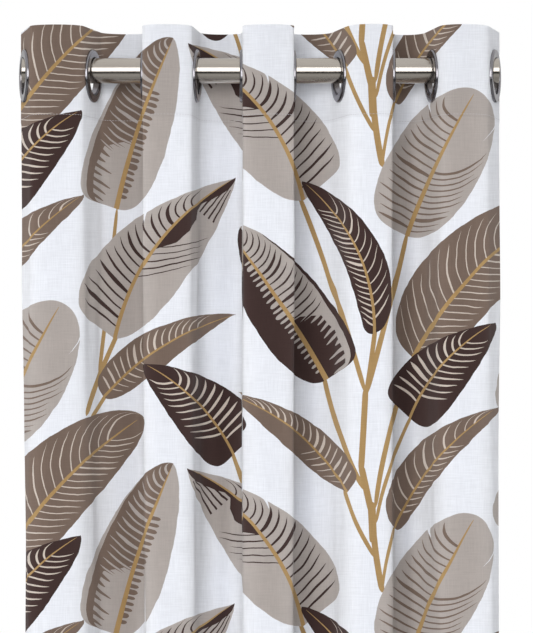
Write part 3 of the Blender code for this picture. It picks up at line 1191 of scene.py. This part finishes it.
def select(piece, faces=None, edges=None):
    """Selects just the faces or edges that pass the test, in edit mode."""
    bpy.ops.mesh.select_all(action="DESELECT")
    shape = bmesh.from_edit_mesh(piece.data)
    for part in shape.faces if faces else shape.edges:
        if (faces or edges)(part):
            part.select_set(True)
    bmesh.update_edit_mesh(piece.data)


def build_eyelets(cloth, eyelet, brushed):
    metal = metal_material("pewter_ring", tuple(eyelet.colour), (1.0, 1.0, 1.0), brushed, 1.2)
    pattern = model_eyelet(eyelet)
    pattern.data.materials.append(metal)
    height = eyelet_height(eyelet)
    for index in range(len(EYELETS)):
        centre, direction = wall_at(cloth, index, height)
        ring = pattern.copy()
        ring.data = pattern.data.copy()
        ring.name = f"ring_{index + 1:02d}"
        bpy.context.scene.collection.objects.link(ring)
        ring.location = (centre[0], centre[1], height)
        ring.rotation_euler = (0, math.radians(90), math.atan2(direction[0], -direction[1]))
        apply_all(ring)
        smooth_edges(ring, SOFT_METAL)
        finish_piece(ring, "eyelet_metal", f"eyelet_{index + 1:02d}")
    bpy.data.objects.remove(pattern)


def build_rod(rod, brushed):
    deselect_all()
    bpy.ops.mesh.primitive_cylinder_add(
        vertices=ROD_SIDES, radius=ROD_RADIUS, depth=ROD_LENGTH, end_fill_type="NGON",
        location=((ROD_LOW.x + ROD_HIGH.x) / 2, 0, 0), rotation=(0, math.radians(90), 0),
    )
    piece = bpy.context.object
    piece.name = "brushed_rod"
    bpy.ops.object.mode_set(mode="EDIT")
    bpy.ops.mesh.select_mode(type="EDGE")
    select(piece, edges=lambda edge: any(len(face.verts) > 4 for face in edge.link_faces))
    bpy.ops.mesh.bevel(offset=rod.bevel, segments=3, affect="EDGES")
    bpy.ops.mesh.select_mode(type="FACE")
    select(piece, faces=lambda face: len(face.verts) > 4)
    bpy.ops.mesh.inset(thickness=rod.wall)
    bpy.ops.mesh.inset(thickness=0.0, depth=-rod.bevel)
    bpy.ops.object.mode_set(mode="OBJECT")
    apply_all(piece)
    smooth_edges(piece, SOFT_METAL)
    piece.data.materials.append(metal_material("brushed_steel", tuple(rod.colour), (0.02, 1.0, 1.0), brushed))
    finish_piece(piece, "rod_metal", "curtain_rod")


# ------------------------------------------------------------------------------------------ floor and light


def add_light(name, place, aim, power, sides):
    data = bpy.data.lights.new(name, "AREA")
    data.energy = power
    data.shape = "RECTANGLE"
    data.size, data.size_y = sides
    light = bpy.data.objects.new(name, data)
    light.location = place
    light.rotation_euler = (Vector(aim) - Vector(place)).to_track_quat("-Z", "Y").to_euler()
    light.visible_camera = False
    bpy.context.scene.collection.objects.link(light)
    return light


def add_world(stage):
    """White behind the object, an even light on it, and the studio's walls in its metal."""
    world = bpy.data.worlds.new("white_studio")
    world.use_nodes = True
    tree = world.node_tree
    way_up = Value(tree, tree.nodes.new("ShaderNodeTexCoord").outputs["Generated"])
    up = parts_of(tree, way_up)[2]
    walls = profile(tree, up * 0.5 + 0.5, [((height + 1) / 2, value) for height, value in STUDIO_WALLS])
    rays = tree.nodes.new("ShaderNodeLightPath").outputs
    glossy, seen = (Value(tree, rays[name]) for name in ("Is Glossy Ray", "Is Camera Ray"))
    lit = blend(tree, "RGBA", glossy, (stage.room_light,) * 3, walls)
    shown = blend(tree, "RGBA", seen, lit, (1.0, 1.0, 1.0))
    feed(tree, tree.nodes["Background"].inputs["Color"], shown)
    bpy.context.scene.world = world


def add_floor(stage, cloth):
    deselect_all()
    middle = (stage.view_across, 0.0, levels(cloth)[2] - FLOOR_GAP)
    bpy.ops.mesh.primitive_plane_add(size=FLOOR_SIZE, location=middle)
    floor = bpy.context.object
    floor.name = "studio_floor"
    made, tree, shader = new_material("pale_floor", Roughness=0.8)
    shade = noise(tree, own_place(tree), 3.0) * 0.02 + 0.80
    feed(tree, shader.inputs["Base Color"], scaled(tree, (1.0, 1.0, 1.0), shade))
    floor.data.materials.append(made)
    floor.visible_glossy = False


def add_camera(stage):
    camera = bpy.data.objects.new("view", bpy.data.cameras.new("view"))
    camera.location = (stage.view_across, -stage.view_distance, stage.view_height)
    camera.rotation_euler = (math.radians(90), 0, 0)
    camera.data.lens = stage.lens
    camera.data.sensor_width = 36.0
    bpy.context.scene.collection.objects.link(camera)
    bpy.context.scene.camera = camera


def build_stage(stage, cloth):
    bpy.context.scene.view_settings.view_transform = "Standard"
    add_world(stage)
    add_floor(stage, cloth)
    x = stage.view_across
    key = add_light("front_left_key", (-0.05, -3.6, 0.1), (x, 0.0, -0.3), stage.key_power, (1.4, 1.6))
    panel = add_light("front_panel", (x, -3.2, 0.40), (x, 0, 0.40), stage.front_power, (3.4, 1.78))
    back = add_light("back_light", (x, 1.9, 2.3), (x, 0, -1.1), stage.back_power, (3.0, 2.0))
    key.visible_glossy = False
    panel.visible_diffuse = False
    back.visible_glossy = False
    add_camera(stage)


# ------------------------------------------------------------------------------------------------ operators


class CURTAIN_OT_stage(bpy.types.Operator):
    """Add the pale floor, the studio light and the camera"""

    bl_idname = "curtain.stage"
    bl_label = "Stage"

    def execute(self, context):
        build_stage(context.scene.curtain_stage, context.scene.curtain_cloth)
        return {"FINISHED"}


class CURTAIN_OT_rod(bpy.types.Operator):
    """Model the brushed steel rod"""

    bl_idname = "curtain.rod"
    bl_label = "Rod"

    def execute(self, context):
        build_rod(context.scene.curtain_rod, brushed_metal())
        return {"FINISHED"}


class CURTAIN_OT_eyelets(bpy.types.Operator):
    """Model the ten pewter rings"""

    bl_idname = "curtain.eyelets"
    bl_label = "Eyelets"

    def execute(self, context):
        build_eyelets(context.scene.curtain_cloth, context.scene.curtain_eyelet, brushed_metal())
        return {"FINISHED"}


class CURTAIN_OT_cloth(bpy.types.Operator):
    """Lay the printed cloth in its folds"""

    bl_idname = "curtain.cloth"
    bl_label = "Cloth"

    def execute(self, context):
        scene = context.scene
        cloth = scene.curtain_cloth
        piece = build_cloth(cloth, scene.curtain_eyelet, scene.curtain_stage, scene.curtain_print)
        return {"FINISHED"}


def brushed_metal():
    return bpy.data.node_groups.get("brushed_metal") or brushed_metal_group()


class CURTAIN_PT_pieces(bpy.types.Panel):
    bl_idname = "CURTAIN_PT_pieces"
    bl_label = "Eyelet Curtain"
    bl_space_type = "VIEW_3D"
    bl_region_type = "UI"
    bl_category = "Curtain"

    def draw(self, context):
        for made in OPERATORS:
            self.layout.operator(made.bl_idname)


OPERATORS = (CURTAIN_OT_stage, CURTAIN_OT_rod, CURTAIN_OT_eyelets, CURTAIN_OT_cloth)
SETTINGS = {
    "curtain_cloth": CurtainCloth,
    "curtain_eyelet": CurtainEyelet,
    "curtain_rod": CurtainRod,
    "curtain_print": CurtainPrint,
    "curtain_stage": CurtainStage,
}
CLASSES = (*SETTINGS.values(), *OPERATORS, CURTAIN_PT_pieces)


def register():
    for made in CLASSES:
        bpy.utils.register_class(made)
    for name, made in SETTINGS.items():
        setattr(bpy.types.Scene, name, PointerProperty(type=made))


def unregister():
    for name in SETTINGS:
        delattr(bpy.types.Scene, name)
    for made in reversed(CLASSES):
        bpy.utils.unregister_class(made)


def main():
    register()
    bpy.ops.curtain.stage()
    bpy.ops.curtain.rod()
    bpy.ops.curtain.eyelets()
    bpy.ops.curtain.cloth()


if __name__ == "__main__":
    main()
